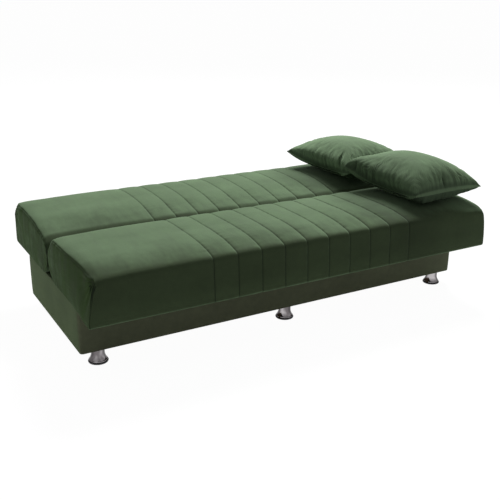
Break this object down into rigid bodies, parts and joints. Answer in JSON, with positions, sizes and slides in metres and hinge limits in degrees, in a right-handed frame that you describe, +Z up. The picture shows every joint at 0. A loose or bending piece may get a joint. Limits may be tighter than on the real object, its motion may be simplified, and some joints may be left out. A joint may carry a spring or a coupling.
{
  "type": "sofa bed",
  "caption": "Three-seat sofa bed folded flat: channel-stitched velvet seat and back on a bedding box with flared legs and two loose pillows.",
  "frame": {"origin": "on the floor, under the middle of the bed", "axes": "+X along the bed to the pillows' end, +Y from the seat's front edge to the back's rear edge, +Z up"},
  "size_m": [1.9, 1.068, 0.6522],
  "materials": {
    "velvet": "green velvet, short pile with a pale sheen",
    "box_velvet": "the same velvet, in shade",
    "pillow_velvet": "the same velvet on the pillows",
    "foam": "upholstery foam",
    "dust_cloth": "black non-woven lining",
    "softwood": "planed pine",
    "plywood": "birch plywood",
    "chrome": "polished",
    "glide": "black, satin",
    "zinc_steel": "zinc plated"
  },
  "bodies": {
    "base": {"base_front_board": "softwood", "base_rear_board": "softwood", "base_left_board": "softwood", "base_right_board": "softwood", "base_bottom_panel": "plywood", "base_cross_board": "softwood", "base_cover": "box_velvet", "hinge_block_left": "softwood", "hinge_block_right": "softwood", "leg_front_left": "chrome", "leg_glide_front_left": "glide", "leg_block_front_left": "softwood", "leg_front_middle": "chrome", "leg_glide_front_middle": "glide", "leg_block_front_middle": "softwood", "leg_front_right": "chrome", "leg_glide_front_right": "glide", "leg_block_front_right": "softwood", "leg_rear_left": "chrome", "leg_glide_rear_left": "glide", "leg_block_rear_left": "softwood", "leg_rear_middle": "chrome", "leg_glide_rear_middle": "glide", "leg_block_rear_middle": "softwood", "leg_rear_right": "chrome", "leg_glide_rear_right": "glide", "leg_block_rear_right": "softwood", "hinge_bracket_left": "zinc_steel", "seat_hinge_pin_left": "zinc_steel", "back_hinge_pin_left": "zinc_steel", "lock_pin_left": "zinc_steel", "hinge_bracket_right": "zinc_steel", "seat_hinge_pin_right": "zinc_steel", "back_hinge_pin_right": "zinc_steel", "lock_pin_right": "zinc_steel"},
    "seat": {"seat_outer_rail": "softwood", "seat_inner_rail": "softwood", "seat_left_rail": "softwood", "seat_right_rail": "softwood", "seat_deck": "plywood", "seat_foam": "foam", "seat_cover": "velvet", "seat_dust_cloth": "dust_cloth", "seat_hinge_arm_left": "zinc_steel", "seat_hinge_arm_right": "zinc_steel"},
    "back": {"back_outer_rail": "softwood", "back_inner_rail": "softwood", "back_left_rail": "softwood", "back_right_rail": "softwood", "back_deck": "plywood", "back_foam": "foam", "back_cover": "velvet", "back_dust_cloth": "dust_cloth", "back_hinge_arm_left": "zinc_steel", "back_hinge_arm_right": "zinc_steel"},
    "catch_left": {"lock_pawl_left": "zinc_steel"},
    "catch_right": {"lock_pawl_right": "zinc_steel"},
    "front_pillow": {"pillow_front": "pillow_velvet"},
    "rear_pillow": {"pillow_rear": "pillow_velvet"}
  },
  "joints": [
    {"name": "seat_lift", "type": "hinge", "parent": "base", "child": "seat", "pos_m": [0, -0.104, 0.3502], "axis": [-1, 0, 0], "range_deg": [0, 40]},
    {"name": "back_fold", "type": "hinge", "parent": "base", "child": "back", "pos_m": [0, 0.104, 0.3502], "axis": [1, 0, 0], "range_deg": [0, 75]},
    {"name": "catch_release", "type": "hinge", "parent": "base", "child": "catch_left", "pos_m": [-0.9034, 0.0675, 0.3185], "axis": [1, 0, 0], "range_deg": [0, 14]},
    {"name": "catch_release_right", "type": "hinge", "parent": "base", "child": "catch_right", "pos_m": [0.9034, 0.0675, 0.3185], "axis": [1, 0, 0], "range_deg": [0, 14]},
    {"name": "front_pillow_slide", "type": "slide", "parent": "seat", "child": "front_pillow", "axis": [0, -1, 0], "range_m": [0, 0.14]},
    {"name": "rear_pillow_turn", "type": "hinge", "parent": "back", "child": "rear_pillow", "pos_m": [0.366, 0.0238, 0.55], "axis": [0, 0, 1], "range_deg": [0, 84]}
  ],
  "couplings": [
    {"joint": "catch_release_right", "follows": "catch_release", "ratio": 1},
    {"joint": "front_pillow_slide", "follows": "seat_lift", "m_per_rad": 0.20054},
    {"joint": "rear_pillow_turn", "follows": "back_fold", "ratio": 1.12}
  ]
}
